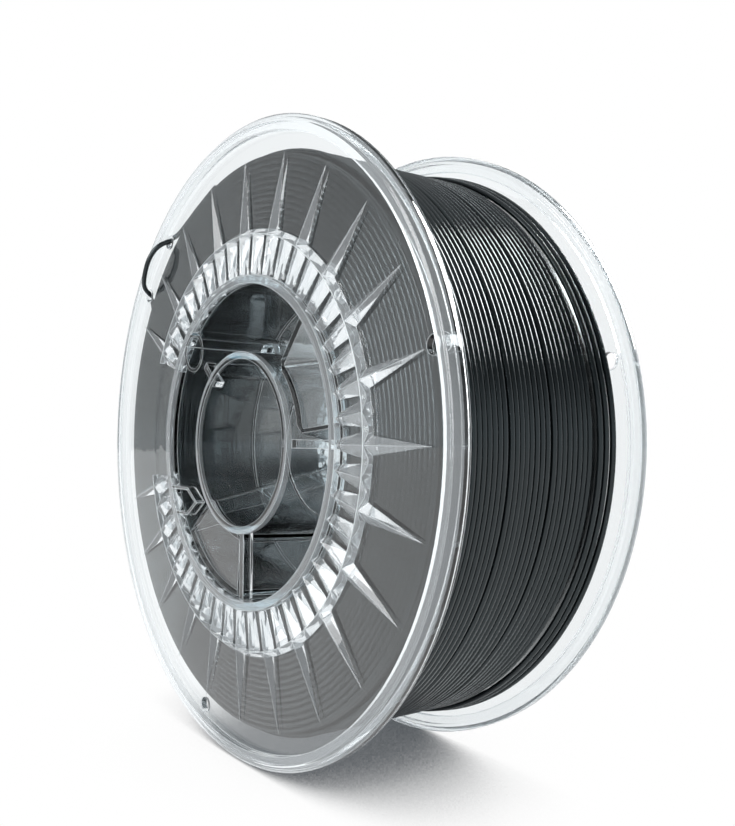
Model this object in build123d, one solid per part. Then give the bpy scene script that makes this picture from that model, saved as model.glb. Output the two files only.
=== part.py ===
from build123d import *
import os
from math import cos, hypot, radians, sin, sqrt, tan

# A transparent filament spool of two moulded halves, wound with 1.75 mm filament. Millimetres.
# It is drawn in a face frame: +Z along the spool's axis towards the front, +Y up, +X right as seen
# from the front, and z = 0 at the joint between the halves. At the end it is turned so that the axis
# lies along the row's Y, with the front face at -Y and +Z up. Angles run from +X towards +Y.

# ---- driving dimensions ----------------------------------------------------------------------
spool_diameter = 200.0
spool_width = 71.0            # over both rims
bore_diameter = 53.0
bore_wall = 2.3
hub_opening = 100.0           # clear diameter inside the hub wall
hub_wall = 2.6
plate_thickness = 2.0
plate_recess = 2.2            # from the rim's plane down to the plate's outer face

rim_band = 4.7                # radial width of the raised rim
rim_slope = 1.4               # slope along the rim's outer edge
collar_recess = 0.2           # the collar and the bore's ring stop this far below the rim's plane
collar_draft = 2.1            # how far the bare part of the collar spreads down to the plate

tooth_pitch = 7.5             # degrees between the teeth of the crown
spike_pitch = 15.0            # and between the long spikes that grow from its crest
crown_first = -165.0          # angles of the first and the last tooth: the rest of the circle is bare
crown_last = 150.0
tooth_length = 12.4           # from the hub wall's outside to the crown's crest
tooth_root_share = 0.6        # width of a tooth at the collar, as a share of the pitch there
crest_slope = 1.7             # width of the crest's slope towards the rim
crest_bite = 0.2              # how far teeth and spikes reach past the crest's edge, inside it
tooth_start = 0.3             # from the hub wall's outside to the teeth's inner ends
spike_length = 24.0
spike_width = 6.8
crown_recess = 0.05           # the crest stops this far below the rim's plane
ridge_step = 0.3              # and the ridges of teeth and spikes this far below the crest

clip_hole = 5.0               # holes beside the rim that hold the filament's end
clip_hole_margin = 0.4
clip_hole_angles = (15.0, 127.3, 142.7, 255.0)

spoke_angles = (0.0, 135.0, 270.0)
spoke_width = 2.5
spoke_depth = 3.4

post_angle = 135.0            # round posts that locate the halves on each other
post_diameter = 13.6
post_wall = 1.2
pin_length = 6.0
pin_clearance = 0.25

key_height = -20.7            # five-sided drive socket on the front half's hub wall
key_reach = 18.0              # from the hub wall to its point
key_point = 7.2               # length of its pointed end
key_width = 9.8
key_wall = 1.0
key_depth = 3.2

leg_angles = (28.0, -118.0)   # middle of each leg of the back half
leg_span = 45.0               # degrees between its sides at the tip
leg_spread = 13.5             # degrees by which each side leans out towards the back
leg_wall = 1.6
leg_tip_recess = 3.4          # from the rim's plane down to the leg's closed end
leg_bore_gap = 1.2            # between the bore's tube and the leg
leg_hub_gap = 0.25            # between the hub wall and the leg
leg_corner = 2.2              # slope across each inner corner
foot_rim = 0.8                # how far the leg's foot stands out round its root

filament_diameter = 1.75
bare_flange = 10.5            # from the full winding out to the flanges' edge
winding_fit = 0.1             # between the winding and the faces that hold it
loose_band = 7.0              # width of the few loose turns beside the back flange
loose_ditch = 4.2             # ditch between them and the full top layer
turn_gaps = (-7.0, 9.0)               # heights at which the top layer's turns stand wide apart
turn_gap = 1.6                # width of such a gap between two turns
turn_gap_depth = 0.9

strand_fit = 0.25             # between the winding and the filament's end that lies on it

# The filament's end leaves the winding, comes out of one clip hole and goes back in at the next. Its
# bends round off points given as degrees from a hole, radius from the holes' own circle, and height:
# over the plate's outer face, or under its inner face if negative.
filament_start = [(-21.3, -2.1), (-13.8, -2.0)]          # on the winding: degrees from the first hole
filament_out = [(-6.9, -1.2, -1.8), (-1.0, 0.9, -1.8), (1.4, 1.0, 2.7), (5.1, 0.2, 5.0)]
filament_back = [
    (-6.4, -0.7, 4.9), (-2.9, -0.1, 3.6), (-1.0, 0.1, 1.5), (0.7, -0.1, -1.4), (3.5, -0.8, -2.5),
]

# ---- values that follow ----------------------------------------------------------------------
half_width = spool_width / 2
plate_out = half_width - plate_recess
plate_in = plate_out - plate_thickness
collar_top = half_width - collar_recess
rim_r = spool_diameter / 2
rim_inner_r = rim_r - rim_band
bore_r = bore_diameter / 2
tube_r = bore_r + bore_wall
opening_r = hub_opening / 2
hub_r = opening_r + hub_wall
crest_r = hub_r + tooth_length
crown_top = half_width - crown_recess
leg_tip = half_width - leg_tip_recess
clip_hole_r = rim_inner_r - clip_hole / 2 - clip_hole_margin
winding_r = rim_r - bare_flange
sink = 0.4                    # how far a raised feature reaches into what it stands on
near = 0.01                   # distances below this count as none


def ring(inner_r, outer_r, low, high):
    """A plain ring round the spool's axis."""
    wall = Rectangle(outer_r - inner_r, high - low, align=(Align.MIN, Align.MIN))
    return revolve(Plane.XZ * Pos(inner_r, low) * wall, Axis.Z)


def turned(*points):
    """A solid of revolution from (radius, height) points."""
    return revolve(Plane.XZ * make_face(Polyline(*points, close=True)), Axis.Z)


def at_angle(angle):
    """A location whose X points outwards at this angle."""
    return Rot(0, 0, angle)


def flange_profile():
    """Half section of one moulding: hub wall with its collar, plate and raised rim."""
    outline = Polyline(
        (opening_r, 0),
        (hub_r, 0),
        (hub_r, plate_in),
        (rim_r, plate_in),
        (rim_r, half_width - rim_slope),
        (rim_r - rim_slope, half_width),
        (rim_inner_r, half_width),
        (rim_inner_r, plate_out),
        (hub_r, plate_out),
        (hub_r, collar_top),
        (opening_r, collar_top),
        close=True,
    )
    return make_face(outline)


def tooth(angle):
    """One gabled tooth from the crown's crest in to the collar."""
    wide = 2 * crest_r * tan(radians(tooth_pitch / 2))
    narrow = 2 * hub_r * tan(radians(tooth_pitch / 2)) * tooth_root_share
    low = plate_out - sink
    outer_x = crest_r + crest_bite
    inner_x = hub_r + tooth_start
    points = [
        (outer_x, wide / 2, low), (outer_x, -wide / 2, low), (outer_x, 0, crown_top - ridge_step),
        (inner_x, narrow / 2, low), (inner_x, -narrow / 2, low), (inner_x, 0, collar_top - ridge_step),
    ]
    return at_angle(angle) * ConvexPolyhedron(points)


def spike(angle):
    """One long pyramid from the crown's crest out towards the rim."""
    low = plate_out - sink
    points = [
        (crest_r + crest_slope / 2, spike_width / 2, low),
        (crest_r + crest_slope / 2, -spike_width / 2, low),
        (crest_r + crest_bite, 0, crown_top - ridge_step),
        (crest_r + spike_length, 0, low),
    ]
    return at_angle(angle) * ConvexPolyhedron(points)


def steps(first, last, pitch):
    """Angles from the first to the last, one pitch apart."""
    return [first + pitch * i for i in range(round((last - first) / pitch) + 1)]


def crown():
    """The crest ring with its teeth and spikes, left out over the bare part of the circle."""
    crest = turned(
        (crest_r, plate_out - sink),
        (crest_r + crest_slope, plate_out - sink),
        (crest_r + crest_slope, plate_out),
        (crest_r, crown_top),
    )
    start = crown_last + tooth_pitch / 2
    bare = 360 + crown_first - tooth_pitch / 2 - start
    gap = CenterArc((0, 0), spool_diameter, start, bare)
    wedge = make_face([gap, Line((0, 0), gap @ 0), Line(gap @ 1, (0, 0))])
    crest -= Pos(0, 0, plate_in) * extrude(wedge, spool_width)
    teeth = [tooth(a) for a in steps(crown_first, crown_last, tooth_pitch)]
    spikes = [spike(a) for a in steps(crown_first, crown_last, spike_pitch)]
    return [crest] + teeth + spikes


def collar_foot():
    """The collar's drafted side, where no teeth stand against it."""
    section = Polyline(
        (hub_r - sink, plate_out - sink),
        (hub_r + collar_draft, plate_out - sink),
        (hub_r + collar_draft, plate_out),
        (hub_r, collar_top),
        (hub_r - sink, collar_top),
        close=True,
    )
    bare = 360 + crown_first - crown_last
    return at_angle(crown_last) * revolve(Plane.XZ * make_face(section), Axis.Z, bare)


def spoke(angle):
    """A flat bar from the bore's tube to the hub wall, level with the plate's outer face."""
    length = opening_r - tube_r + 2 * sink
    bar = Box(length, spoke_width, spoke_depth, align=(Align.MIN, Align.CENTER, Align.MAX))
    return at_angle(angle) * Pos(tube_r - sink, 0, plate_out) * bar


def post(radius, length):
    """A round bar from the joint up, at the post's place beside the hub wall."""
    place = at_angle(post_angle) * Pos(opening_r - post_diameter / 2 + sink, 0, 0)
    return place * Cylinder(radius, length, align=(Align.CENTER, Align.CENTER, Align.MIN))


def moulded_half():
    """What both halves share, with its outer face at +Z."""
    body = revolve(Plane.XZ * flange_profile(), Axis.Z)
    body += ring(bore_r, tube_r, 0, collar_top)
    body += [spoke(a) for a in spoke_angles]
    body += post(post_diameter / 2, collar_top)
    body += crown()
    body += collar_foot()
    for angle in clip_hole_angles:
        hole = Cylinder(clip_hole / 2, spool_width, align=(Align.CENTER, Align.CENTER, Align.MIN))
        body -= at_angle(angle) * Pos(clip_hole_r, 0, 0) * hole
    return body


def drive_socket():
    """A five-sided sleeve from the inside of the hub wall, its point towards the hub's middle."""
    wall_x = -sqrt(opening_r**2 - key_height**2)

    def outline(wall):
        half = key_width / 2 - wall
        tip = wall_x + key_reach - wall * 1.7
        shoulder = wall_x + key_reach - key_point - wall * 0.6
        back = -opening_r - sink
        corners = [(back, half), (shoulder, half), (tip, 0), (shoulder, -half), (back, -half)]
        return Pos(0, key_height) * make_face(Polyline(*corners, close=True))

    inside_wall = Circle(opening_r + sink)
    sleeve = (outline(0) - outline(key_wall)) & inside_wall
    return Pos(0, 0, collar_top - key_depth) * extrude(sleeve, key_depth)


def leg_block(middle, inset, low, high, inner, outer):
    """A sector between two radii whose sides lean out from tip to root, less a wall at each side."""
    # the ring's seam is turned away from the block, so that it splits none of the block's edges
    block = split(at_angle(180) * ring(inner, outer, low, high), Plane.YZ, keep=Keep.TOP)
    for sign in (-1, 1):
        across = Vector(0, cos(radians(leg_spread)) * sign, sin(radians(leg_spread)))
        outward = across.rotate(Axis.Z, sign * leg_span / 2)
        side = Plane(origin=Vector(0, 0, leg_tip) - outward * inset, z_dir=outward)
        block = split(block, side, keep=Keep.BOTTOM)
    corners = [e for e in block.edges() if is_inner_corner(e, inner, low, high)]
    return at_angle(middle) * chamfer(corners, max(leg_corner - inset, leg_corner / 4))


def is_inner_corner(edge, inner, low, high):
    """True for an edge that runs from root to tip along the inner radius."""
    ends = [edge @ 0, edge @ 1]
    on_radius = all(abs(hypot(p.X, p.Y) - inner) < near for p in ends)
    return on_radius and abs(abs(ends[0].Z - ends[1].Z) - (high - low)) < near


def leg(middle):
    """A hollow leg of the back half, closed at its tip, with a thick foot at its open root."""
    inner = tube_r + leg_bore_gap
    outer = opening_r - leg_hub_gap
    shell = leg_block(middle, 0, -plate_out, leg_tip, inner, outer)
    foot_top = -plate_out + spoke_depth
    foot = leg_block(middle, -foot_rim, -plate_out, foot_top, tube_r - sink, opening_r + sink)
    low = -plate_out - 1
    hollow = leg_block(middle, leg_wall, low, leg_tip - leg_wall, inner + leg_wall, outer - leg_wall)
    return shell + foot, hollow


def front_half():
    body = moulded_half()
    body -= post(post_diameter / 2 - post_wall, collar_top)
    body += drive_socket()
    return body


def back_half():
    # the same moulding, turned over about the line through the posts
    a = radians(post_angle)
    body = moulded_half().rotate(Axis((0, 0, 0), (cos(a), sin(a), 0)), 180)
    pin_r = post_diameter / 2 - post_wall - pin_clearance
    body += Pos(0, 0, -sink) * post(pin_r, pin_length + sink)
    for middle in leg_angles:
        walls, hollow = leg(middle)
        body += walls
        body -= hollow
    return body


def winding():
    """The wound filament as one closed body: a full layer with its wider gaps, and a few loose turns."""
    low = -plate_in + winding_fit
    high = plate_in - winding_fit
    ditch = low + loose_band
    inner = hub_r + winding_fit
    loose_r = winding_r - filament_diameter * 0.3
    outline = [(inner, low), (loose_r, low), (loose_r, ditch)]
    outline += [(winding_r - filament_diameter, ditch + loose_ditch / 2), (winding_r, ditch + loose_ditch)]
    for height in turn_gaps:
        outline.append((winding_r, height - turn_gap / 2))
        outline.append((winding_r - turn_gap_depth, height))
        outline.append((winding_r, height + turn_gap / 2))
    return turned(*outline, (winding_r, high), (inner, high))


def filament_end():
    """The strand's last stretch: straight runs joined by arcs as large as the runs allow."""
    on_winding = winding_r + strand_fit + filament_diameter / 2 - clip_hole_r
    first, second = clip_hole_angles[1:3]
    route = [(first + turn, on_winding, height) for turn, height in filament_start]
    route += [(first + turn, out, height) for turn, out, height in filament_out]
    route += [(second + turn, out, height) for turn, out, height in filament_back]
    path = []
    for angle, out, height in route:
        level = plate_out + height if height > 0 else plate_in + height
        path.append((at_angle(angle) * Pos(clip_hole_r + out, 0, level)).position)
    bends = []
    for before, corner, after in zip(path, path[1:], path[2:]):
        turn = (corner - before).get_angle(after - corner)
        shorter = min((corner - before).length, (after - corner).length)
        bends.append(0.45 * shorter / tan(radians(turn / 2)))
    centre_line = FilletPolyline(*path, radius=bends)
    section = Plane(centre_line @ 0, z_dir=centre_line % 0) * RegularPolygon(filament_diameter / 2, 8)
    print("bends of the filament's end:", [round(b, 1) for b in bends])
    return sweep(section, centre_line)


parts = {
    "front_half": front_half(),
    "back_half": back_half(),
    "filament_winding": winding(),
    "filament_end": filament_end(),
}

os.makedirs("parts", exist_ok=True)
for name, shape in parts.items():
    shape = Rot(90, 0, 0) * shape
    export_step(shape, f"parts/{name}.step")
    print(name, len(shape.solids()), "solid", round(shape.volume / 1000, 2), "cm3", shape.is_valid)
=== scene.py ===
# %% [markdown]
# # A filament spool with clear flanges
# The spool is two mouldings of clear plastic, joined at the middle of the hub, wound with dark
# 1.75 mm filament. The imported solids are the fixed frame: this script gives them their finish and
# lays the strand on them turn by turn. It works in metres, with the bore's centre at the origin,
# +Y along the axis towards the back flange and +Z up.

# %% Load the frame
from math import cos, hypot, pi, radians, sin

import bpy
from mathutils import Matrix, Vector, noise


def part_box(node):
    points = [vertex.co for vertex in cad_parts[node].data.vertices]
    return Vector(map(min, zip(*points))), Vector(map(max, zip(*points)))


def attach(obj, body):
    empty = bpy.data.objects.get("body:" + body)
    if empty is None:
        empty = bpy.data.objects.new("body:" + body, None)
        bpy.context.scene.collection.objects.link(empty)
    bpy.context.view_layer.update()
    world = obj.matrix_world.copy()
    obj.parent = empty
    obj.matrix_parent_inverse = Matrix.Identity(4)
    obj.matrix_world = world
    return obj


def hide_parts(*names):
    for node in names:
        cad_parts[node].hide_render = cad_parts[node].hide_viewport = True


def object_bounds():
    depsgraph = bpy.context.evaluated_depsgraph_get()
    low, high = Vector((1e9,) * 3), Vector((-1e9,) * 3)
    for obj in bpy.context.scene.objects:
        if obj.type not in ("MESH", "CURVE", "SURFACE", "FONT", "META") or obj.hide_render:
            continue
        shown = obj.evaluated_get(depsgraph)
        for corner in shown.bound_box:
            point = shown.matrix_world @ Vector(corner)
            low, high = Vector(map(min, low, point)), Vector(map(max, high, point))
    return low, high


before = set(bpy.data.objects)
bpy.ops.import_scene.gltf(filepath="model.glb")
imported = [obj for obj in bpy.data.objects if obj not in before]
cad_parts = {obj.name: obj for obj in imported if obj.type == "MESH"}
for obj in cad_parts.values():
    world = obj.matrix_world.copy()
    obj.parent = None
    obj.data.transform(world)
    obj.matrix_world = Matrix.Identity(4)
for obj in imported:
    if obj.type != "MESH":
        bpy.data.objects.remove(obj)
cad_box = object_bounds()
print("nodes:", sorted(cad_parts))

# %% [markdown]
# ## The camera
# A close lens looks at the spool from the right of its front face, level with its axis. It stands
# so near that the front flange looks larger than the back one. The shift frames the picture without
# turning the camera.

# %% Place the camera
camera_distance = 0.2967
camera_turn = radians(54.67)          # from straight in front, towards +X
camera_rise = radians(0.3)
camera_roll = radians(0.6)

direction = Vector((
    sin(camera_turn) * cos(camera_rise), -cos(camera_turn) * cos(camera_rise), sin(camera_rise),
))
bpy.ops.object.camera_add(location=direction * camera_distance)
camera = bpy.context.object
aim = direction.to_track_quat("Z", "Y")
camera.rotation_euler = (aim.to_matrix() @ Matrix.Rotation(camera_roll, 3, "Z")).to_euler()
camera.data.lens = 38.1
camera.data.shift_x = 0.0476
camera.data.shift_y = 0.0368
camera.data.clip_start = 0.01
bpy.context.scene.camera = camera
print("camera at", [round(v, 3) for v in camera.location])

# %% [markdown]
# ## A way to write shaders as sums
# A material is a graph of nodes. Wrapping a socket in a small class lets its maths be written as
# Python expressions, and one method adds any other node.

# %% Shader helpers
class Wire:
    """A node's output that can be used in arithmetic."""

    def __init__(self, finish, socket):
        self.finish, self.socket = finish, socket

    def maths(self, operation, *values):
        return self.finish.node("ShaderNodeMath", {"operation": operation}, dict(enumerate(values)))

    def __add__(self, other):
        return self.maths("ADD", self, other)

    def __radd__(self, other):
        return self.maths("ADD", other, self)

    def __sub__(self, other):
        return self.maths("SUBTRACT", self, other)

    def __rsub__(self, other):
        return self.maths("SUBTRACT", other, self)

    def __mul__(self, other):
        return self.maths("MULTIPLY", self, other)

    def __rmul__(self, other):
        return self.maths("MULTIPLY", other, self)

    def __truediv__(self, other):
        return self.maths("DIVIDE", self, other)

    def larger(self, other):
        return self.maths("MAXIMUM", self, other)

    def ramp(self, low, high):
        """0 below low, 1 above high, and a smooth rise between them."""
        inputs = {"Value": self, "From Min": low, "From Max": high}
        return self.finish.node("ShaderNodeMapRange", {"interpolation_type": "SMOOTHSTEP"}, inputs)


class Finish:
    """A node tree under construction, for a material or for the world."""

    def __init__(self, tree):
        self.tree = tree
        tree.nodes.clear()

    def node(self, kind, settings, inputs, output=0):
        made = self.tree.nodes.new(kind)
        for name, value in settings.items():
            setattr(made, name, value)
        for name, value in inputs.items():
            if isinstance(value, Wire):
                self.tree.links.new(value.socket, made.inputs[name])
            else:
                made.inputs[name].default_value = value
        return Wire(self, made.outputs[output]) if made.outputs else None


def new_material(name):
    material = bpy.data.materials.new(name)
    material.use_nodes = True
    return material, Finish(material.node_tree)


def wear(piece, material):
    piece.data.materials.clear()
    piece.data.materials.append(material)


def deselect():
    for thing in bpy.context.selected_objects:
        thing.select_set(False)


# %% [markdown]
# ## The two halves
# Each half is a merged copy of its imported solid, so that round faces can be shaded smooth and sharp
# edges kept. On the solid the long spikes run down into the plate a few millimetres early. Here each
# tip, a single corner on the plate's face, is drawn out to the spike's full length.

# %% Copy the halves and draw out their spikes
plate_face = 0.0333               # of the flange's plate, from the middle of the spool
packed_tips = (0.083, 0.087)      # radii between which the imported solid's tips lie
tip_radius = 0.0892


def moulding(node, name):
    """A smooth copy of a half, its spikes drawn out to their tips."""
    deselect()
    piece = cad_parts[node].copy()
    piece.data = piece.data.copy()
    piece.name = name
    bpy.context.collection.objects.link(piece)
    bpy.context.view_layer.objects.active = piece
    piece.select_set(True)
    bpy.ops.object.mode_set(mode="EDIT")
    bpy.ops.mesh.select_all(action="SELECT")
    bpy.ops.mesh.remove_doubles(threshold=0.000002)
    bpy.ops.object.mode_set(mode="OBJECT")
    bpy.ops.mesh.customdata_custom_splitnormals_clear()
    drawn = 0
    for vertex in piece.data.vertices:
        radius = hypot(vertex.co.x, vertex.co.z)
        on_plate = abs(abs(vertex.co.y) - plate_face) < 0.00001
        if on_plate and packed_tips[0] < radius < packed_tips[1]:
            vertex.co.x *= tip_radius / radius
            vertex.co.z *= tip_radius / radius
            drawn += 1
    bpy.ops.object.shade_smooth_by_angle(angle=radians(15))
    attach(piece, "root")
    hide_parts(node)
    print(name, "with", drawn, "spikes drawn out")
    return piece


halves = [moulding("front_half", "front_moulding"), moulding("back_half", "back_moulding")]

# %% [markdown]
# ## Clear plastic
# The halves are moulded in clear polystyrene. Light bends at its faces, and the long ways through
# rims and ribs look a little grey and blue, which a faint absorption gives. The skin isn't quite
# flat: slow ripples from the mould bend the reflections, the rims' outer faces are a little crowned,
# and every edge has a small radius, which the Bevel node gives to the shading alone. Light that runs
# along inside clear plastic comes out at its edges and at what stands up from its plates. That light
# is painted: there the clear plastic is mixed with a pale plastic that glows a little, a painted glow.
# An edge is found where the rounded normal differs from the plain one. The ring of teeth has a finely
# broken skin.

# %% Make the clear plastic
# How much painted glow shows along edges and on raised parts
raised_glow_share, edge_glow_share = 0.16, 0.8
rim_middle = 0.0334
hub_radius = 0.05


def clear_plastic():
    material, finish = new_material("clear_plastic")
    place = finish.node("ShaderNodeTexCoord", {}, {}, "Object")
    along = finish.node("ShaderNodeSeparateXYZ", {}, {"Vector": place}, "Y")
    away = along.maths("ABSOLUTE", along)
    flattened = finish.node("ShaderNodeVectorMath", {"operation": "MULTIPLY"}, {0: place, 1: (1, 0, 1)})
    radius = finish.node("ShaderNodeVectorMath", {"operation": "LENGTH"}, {0: flattened}, "Value")
    on_rim = radius.ramp(0.0975, 0.0985)
    on_teeth = radius.ramp(0.053, 0.0535) * (1 - radius.ramp(0.067, 0.0675))
    ripple = finish.node("ShaderNodeTexNoise", {}, {"Vector": place, "Scale": 90.0, "Detail": 2.0})
    grain = finish.node("ShaderNodeTexNoise", {}, {"Vector": place, "Scale": 700.0, "Detail": 1.0})
    cells = finish.node("ShaderNodeTexVoronoi", {}, {"Vector": place, "Scale": 260.0}, "Distance")
    edges = finish.node("ShaderNodeBevel", {"samples": 4}, {"Radius": 0.00035})
    from_middle = away - rim_middle
    bow = from_middle * from_middle * on_rim * -70
    crowned = finish.node("ShaderNodeBump", {}, {
        "Strength": 1.0, "Distance": 1.0, "Height": bow, "Normal": edges,
    })
    relief = ripple + grain * 0.1 + cells * on_teeth
    skin = finish.node("ShaderNodeBump", {}, {
        "Strength": 0.12, "Distance": 0.0004, "Height": relief, "Normal": crowned,
    })
    clear = finish.node("ShaderNodeBsdfPrincipled", {}, {
        "Base Color": (0.955, 0.98, 0.99, 1),
        "Roughness": ripple * 0.04 + 0.005,
        "IOR": 1.55,
        "Transmission Weight": 1.0,
        "Normal": skin,
    })
    # Painted glow: a pale plastic with a little emission, standing in for light that leaves the clear
    # plastic
    painted_glow_plastic = finish.node("ShaderNodeBsdfPrincipled", {}, {
        "Base Color": (0.86, 0.9, 0.92, 1), "Roughness": 0.22, "IOR": 1.55, "Normal": skin,
        "Emission Color": (0.86, 0.91, 0.94, 1), "Emission Strength": 0.3,
    })
    flat = finish.node("ShaderNodeNewGeometry", {}, {}, "Normal")
    facing = finish.node(
        "ShaderNodeVectorMath", {"operation": "DOT_PRODUCT"}, {0: edges, 1: flat}, "Value"
    )
    edge = (1 - facing).ramp(0.03, 0.2)
    bore_ring = radius.ramp(0.0274, 0.0276) * (1 - radius.ramp(0.029, 0.0295))
    outside_hub = radius.ramp(hub_radius - 0.0005, hub_radius)
    proud = away.ramp(plate_face + 0.00002, plate_face + 0.0001)
    raised = proud * bore_ring.larger(outside_hub)
    # Share of painted glow: strongest along edges, weaker on what stands proud of the plate
    painted_glow_share = (edge * edge_glow_share).larger(raised * raised_glow_share)
    shader = finish.node("ShaderNodeMixShader", {}, {0: painted_glow_share, 1: clear, 2: painted_glow_plastic})
    haze = finish.node("ShaderNodeVolumeAbsorption", {}, {
        "Color": (0.85, 0.905, 0.925, 1), "Density": 42.0,
    })
    finish.node("ShaderNodeOutputMaterial", {}, {"Surface": shader, "Volume": haze})
    return material


plastic = clear_plastic()
for half in halves:
    wear(half, plastic)
print("clear plastic on", [half.name for half in halves])

# %% [markdown]
# ## The winding
# The strand is 1.75 mm thick. A level winder lays it in layers, about 2 mm from turn to turn. Only
# the top layer is seen whole. Of the others there are the ends of their turns against the flanges,
# and the first layer on the hub. One turn is modelled as a ring by spinning a small circle about
# the axis, and every other turn is a copy of its own size and place.

# %% Sizes of the winding
winding_low, winding_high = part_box("filament_winding")
strand = 0.00175
outer_r = winding_high.x
front_y, back_y = winding_low.y, winding_high.y
core_r = 0.0528                   # where the first layer lies on the hub
full_r = outer_r + 0.0018         # of most of the top layer
loose_r = outer_r + 0.0036        # of the loose turns beside the back flange
print("winding from", round(front_y, 4), "to", round(back_y, 4), "radius", round(outer_r, 4))


# %% One ring of strand
def strand_ring(name, radius, sides, steps):
    """A closed ring of strand round the axis, in the plane y = 0."""
    deselect()
    bpy.ops.mesh.primitive_circle_add(vertices=sides, radius=strand / 2, location=(radius, 0, 0))
    ring = bpy.context.object
    ring.name = name
    bpy.ops.object.mode_set(mode="EDIT")
    bpy.ops.mesh.select_all(action="SELECT")
    bpy.ops.mesh.spin(steps=steps, angle=2 * pi, center=(0, 0, 0), axis=(0, 1, 0), use_auto_merge=True)
    bpy.ops.mesh.select_all(action="SELECT")
    bpy.ops.mesh.remove_doubles(threshold=strand * 0.02)
    bpy.ops.mesh.normals_make_consistent(inside=False)
    bpy.ops.object.mode_set(mode="OBJECT")
    bpy.ops.object.transform_apply(location=True, rotation=True, scale=True)
    bpy.ops.object.shade_smooth()
    return ring


def copy_ring(ring, y, stretch, tilt, turn):
    """A copy of the ring at y, scaled round the axis, tilted a little about a line across it."""
    copy = ring.copy()
    copy.data = ring.data.copy()
    bpy.context.collection.objects.link(copy)
    to_line, back = Matrix.Rotation(-turn, 4, "Y"), Matrix.Rotation(turn, 4, "Y")
    lean = back @ Matrix.Rotation(tilt, 4, "X") @ to_line
    stretched = Matrix.Diagonal((stretch, 1, stretch, 1))
    copy.data.transform(Matrix.Translation((0, y, 0)) @ lean @ stretched)
    return copy


def joined(pieces, name):
    """The pieces as one object."""
    deselect()
    for piece in pieces:
        piece.select_set(True)
    bpy.context.view_layer.objects.active = pieces[0]
    bpy.ops.object.join()
    whole = bpy.context.object
    whole.name = name
    return whole


# %% [markdown]
# The top layer isn't level. Its first two turns lie against the front flange. Then it rests a layer
# higher, as far as the last few turns, which have climbed once more beside the back flange and stand
# loose there. In two places the turns leave a wider gap.

# %% The top layer
close_pitch, open_pitch = 0.00182, 0.00202
close_until = -0.002              # where the turns start to lie a little further apart
wide_gaps = (-0.009, 0.007)
extra_gap = 0.0006
loose_turns = (0.55, 2.05, 3.35)  # from the back flange, in strands
ring_r = full_r - strand / 2
top_ring = strand_ring("ring", ring_r, sides=10, steps=168)
turns = []
y = front_y + strand / 2
while y < back_y - strand * 4.3:
    index = len(turns)
    radius = outer_r if index < 2 else full_r
    shiver = noise.noise(Vector((index * 0.73, 1.7, 0.0)))
    stretch = (radius - strand / 2) / ring_r - abs(shiver) * 0.0025
    turns.append(copy_ring(top_ring, y, stretch, shiver * 0.0016, index * 0.4))
    pitch = close_pitch if y < close_until else open_pitch
    if any(y < gap < y + pitch for gap in wide_gaps):
        pitch += extra_gap
    y += pitch
for offset in loose_turns:
    stretch = (loose_r - strand / 2 - offset * 0.0002) / ring_r
    lean = 0.002 * sin(offset * 3)
    turns.append(copy_ring(top_ring, back_y - strand * offset, stretch, lean, offset))
print(len(turns), "turns in the top layer,", len(loose_turns), "of them loose")
top_layer = joined(turns, "filament_top_layer")
bpy.data.objects.remove(top_ring)


# %% [markdown]
# The rest of the winding is one body. Its outline has a half round for each turn that can be seen:
# down both sides, against the flanges, and along the hub. Under the top layer it is plain.

# %% The rest of the winding
def arches(start, end, count, bulge):
    """Points of a row of half rounds from start to end, bulging along the given direction."""
    points = []
    for arch in range(count):
        for step in range(6):
            turn = step / 6 * pi
            share = (arch + (1 - cos(turn)) / 2) / count
            points.append(start + (end - start) * share + bulge * sin(turn))
    return points


layer_pitch, hub_pitch = 0.00185, 0.00195
under_r = outer_r - strand
under_full_r = full_r - strand
arch_out = strand * 0.48
step_y = front_y + strand * 2
corners = [
    Vector((core_r + arch_out, front_y + arch_out, 0)),
    Vector((under_r, front_y + arch_out, 0)),
    Vector((under_full_r, step_y, 0)),
    Vector((under_full_r, back_y - arch_out, 0)),
    Vector((core_r + arch_out, back_y - arch_out, 0)),
]
side_count = round((under_r - core_r) / layer_pitch)
across_count = round((back_y - front_y) / hub_pitch)
section = (
    arches(corners[0], corners[1], side_count, Vector((0, -arch_out, 0)))
    + [corners[1], corners[2]]
    + arches(corners[3], corners[4], side_count + 1, Vector((0, arch_out, 0)))
    + arches(corners[4], corners[0], across_count, Vector((-arch_out, 0, 0)))
)
deselect()
bpy.ops.mesh.primitive_circle_add(vertices=len(section), radius=0.01)
under_layers = bpy.context.object
under_layers.name = "filament_under_layers"
for vertex, point in zip(under_layers.data.vertices, section):
    vertex.co = point
bpy.ops.object.mode_set(mode="EDIT")
bpy.ops.mesh.select_all(action="SELECT")
bpy.ops.mesh.spin(steps=144, angle=2 * pi, center=(0, 0, 0), axis=(0, 1, 0), use_auto_merge=True)
bpy.ops.mesh.select_all(action="SELECT")
bpy.ops.mesh.remove_doubles(threshold=strand * 0.02)
bpy.ops.mesh.normals_make_consistent(inside=False)
bpy.ops.object.mode_set(mode="OBJECT")
bpy.ops.object.shade_smooth_by_angle(angle=radians(60))
print("under layers:", len(under_layers.data.polygons), "faces")

# %% [markdown]
# ## The filament's end
# The strand leaves the winding, comes out of one clip hole, bows over the flange's face and goes back
# in at the next hole. A smooth curve follows the same few points as its solid.

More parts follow.
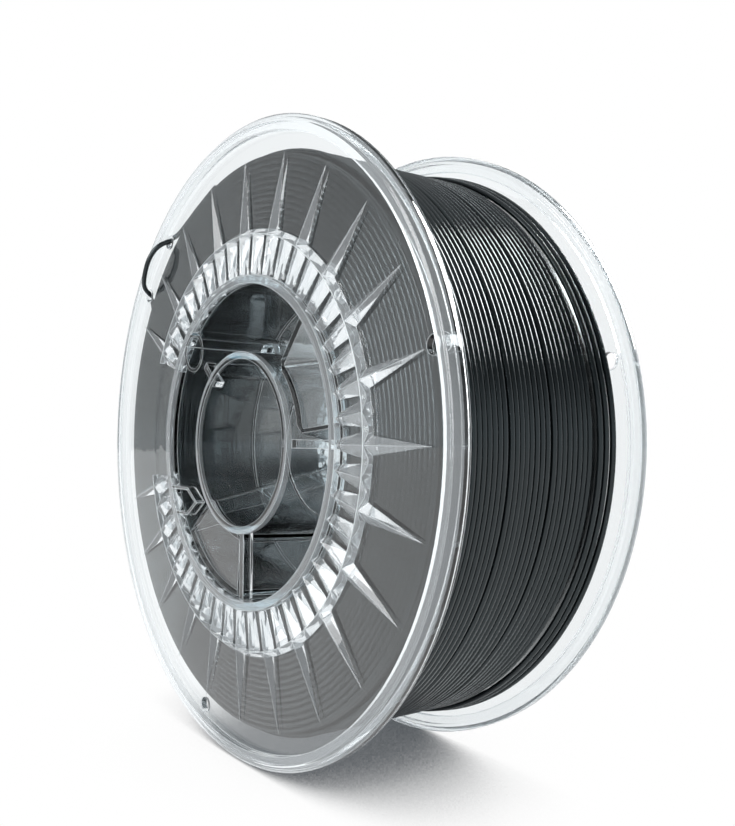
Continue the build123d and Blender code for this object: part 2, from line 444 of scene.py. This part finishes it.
# %% The filament's end
# (degrees from +X towards +Z, radius, distance in front of the middle)
end_route = [
    (106.0, 0.09063, 0.0292), (113.5, 0.09063, 0.0293), (120.4, 0.0912, 0.0295),
    (126.3, 0.0933, 0.0295), (128.7, 0.0934, 0.0360), (132.4, 0.0926, 0.03825),
    (136.3, 0.0917, 0.0382), (139.8, 0.0923, 0.0369), (141.7, 0.0925, 0.0348),
    (143.4, 0.0923, 0.0299), (146.2, 0.0916, 0.0288),
]
line = bpy.data.curves.new("filament_end_line", "CURVE")
line.dimensions = "3D"
spline = line.splines.new("NURBS")
spline.points.add(len(end_route) - 1)
for point, (angle, radius, ahead) in zip(spline.points, end_route):
    point.co = (radius * cos(radians(angle)), -ahead, radius * sin(radians(angle)), 1)
spline.order_u = 3
spline.use_endpoint_u = True
line.resolution_u = 12
line.bevel_depth = strand / 2
line.bevel_resolution = 4
line.use_fill_caps = True
end_strand = bpy.data.objects.new("filament_end_strand", line)
bpy.context.collection.objects.link(end_strand)


# %% [markdown]
# ## Filament
# The filament is nearly black, drawn smooth, with a satin shine along it. Its tone and its shine vary
# a little from place to place.

# %% Make the filament
def filament_finish():
    material, finish = new_material("filament")
    place = finish.node("ShaderNodeTexCoord", {}, {}, "Object")
    bands = finish.node("ShaderNodeTexNoise", {}, {"Vector": place, "Scale": 160.0, "Detail": 3.0})
    colour = finish.node("ShaderNodeMix", {"data_type": "RGBA"}, {
        0: bands, 6: (0.002, 0.003, 0.0035, 1), 7: (0.006, 0.008, 0.009, 1),
    }, 2)
    skin = finish.node("ShaderNodeBump", {}, {"Strength": 0.15, "Distance": 0.0001, "Height": bands})
    shader = finish.node("ShaderNodeBsdfPrincipled", {}, {
        "Base Color": colour,
        "Roughness": bands * 0.1 + 0.12,
        "IOR": 1.5,
        "Specular Tint": (0.84, 0.96, 1.0, 1),
        "Normal": skin,
    })
    finish.node("ShaderNodeOutputMaterial", {}, {"Surface": shader})
    return material


filament = filament_finish()
for piece in (top_layer, under_layers, end_strand):
    wear(piece, filament)
    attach(piece, "root")
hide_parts("filament_winding")
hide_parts("filament_winding")
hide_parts("filament_end")

# %% [markdown]
# ## Table and light
# The spool stands on a white table without a visible end. To the camera, in mirrors and through
# plastic, the table is white, apart from a painted shadow where the spool keeps the room's light off
# it: ambient occlusion darkens the table's glow there.
# Straight through the plastic the room is white as well. Dark glossy strand shows its surroundings in
# every turn, so what it mirrors is a studio: pale near the table's level, less so at the left, dark
# above that and paler overhead, with two lit cards.

# %% The table
rest_height = cad_box[0][2]
deselect()
bpy.ops.mesh.primitive_plane_add(size=12, location=(0, 0, rest_height))
table = bpy.context.object
table.name = "table"
white, finish = new_material("white_table_with_painted_shade")
lit = finish.node("ShaderNodeBsdfDiffuse", {}, {"Color": (0.9, 0.93, 0.96, 1)})
# Painted shadow: ambient occlusion turns the table's glow a dark grey blue under and beside the spool
shade = finish.node("ShaderNodeAmbientOcclusion", {"samples": 8}, {"Distance": 0.13}, "AO")
painted_shade_openness = shade.ramp(0.18, 0.29) * 0.7 + shade.ramp(0.29, 0.55) * 0.3
tone = finish.node("ShaderNodeMix", {"data_type": "RGBA"}, {
    0: painted_shade_openness, 6: (0.10, 0.11, 0.12, 1), 7: (1, 1, 1, 1),
}, 2)
glow = finish.node("ShaderNodeEmission", {}, {"Color": tone, "Strength": 1.0})
scattered = finish.node("ShaderNodeLightPath", {}, {}, "Is Diffuse Ray")
both = finish.node("ShaderNodeMixShader", {}, {0: scattered, 1: glow, 2: lit})
finish.node("ShaderNodeOutputMaterial", {}, {"Surface": both})
table.data.materials.append(white)
print("the table lies at z", round(rest_height, 4))

# %% [markdown]
# Light that was mirrored and has also passed more than two faces of plastic comes from the studio,
# and so does most of the light that has passed many faces.

# %% The room
world = bpy.data.worlds.new("room")
bpy.context.scene.world = world
world.use_nodes = True
room = Finish(world.node_tree)
seen = room.node("ShaderNodeLightPath", {}, {}, "Is Camera Ray")


def path_fact(name):
    return Wire(room, seen.socket.node.outputs[name])


mirrored = path_fact("Glossy Depth").ramp(0, 1) * path_fact("Transmission Depth").ramp(2, 3)
many_walls = path_fact("Transmission Depth").ramp(6, 11) * 0.85
through = path_fact("Is Transmission Ray") * (1 - mirrored) * (1 - many_walls)
straight = seen.larger(through)
way = room.node("ShaderNodeTexCoord", {}, {}, "Generated")
leftward = room.node("ShaderNodeSeparateXYZ", {}, {"Vector": way}, "X") * -1
height = room.node("ShaderNodeSeparateXYZ", {}, {"Vector": way}, "Z")
horizon = (1 - height.ramp(0.05, 0.42)) * (1 - leftward.ramp(0.74, 0.9) * 0.85)
tone = height.ramp(0.6, 0.95) * 0.6 + horizon * 0.85 + 0.13
studio = room.node("ShaderNodeBackground", {}, {"Color": (0.92, 0.97, 1.0, 1), "Strength": tone})
bright = room.node("ShaderNodeBackground", {}, {"Color": (1, 1, 1, 1), "Strength": 1.0})
both = room.node("ShaderNodeMixShader", {}, {0: straight, 1: studio, 2: bright})
room.node("ShaderNodeOutputWorld", {}, {"Surface": both})
print("the room has", len(world.node_tree.nodes), "nodes")

# %% [markdown]
# Of the two lit cards, one stands high behind the spool at its right and draws the bright lines
# across the top layer. The other stands before its front face, at its left, and lights the ends of
# the turns.


# %% The lamps
def soft_lamp(name, place, aim, along, size, strength):
    """An oval lit card at place, facing aim, its length running along. A strength of 1 looks white."""
    card = bpy.data.lights.new(name, "AREA")
    card.shape = "ELLIPSE"
    card.size, card.size_y = size
    card.energy = strength * pi * (pi / 4 * size[0] * size[1])
    thing = bpy.data.objects.new(name, card)
    bpy.context.collection.objects.link(thing)
    back = (Vector(place) - Vector(aim)).normalized()      # an area lamp shines along its own -Z
    side = Vector(along).cross(back).normalized()
    thing.location = place
    thing.rotation_euler = Matrix((side, back.cross(side), back)).transposed().to_euler()
    print(name, round(card.energy, 2), "W")


soft_lamp("strip_card", (0.21, 0.65, 0.51), (0.06, 0, 0.04), (-0.8, -0.06, 0.59), (0.24, 0.62), 30.0)
soft_lamp("front_card", (-0.20, -0.78, 0.28), (0, 0, 0), (0, 0, 1), (0.5, 0.7), 6.2)

# %% Set the view transform
bpy.context.scene.view_settings.view_transform = "Standard"
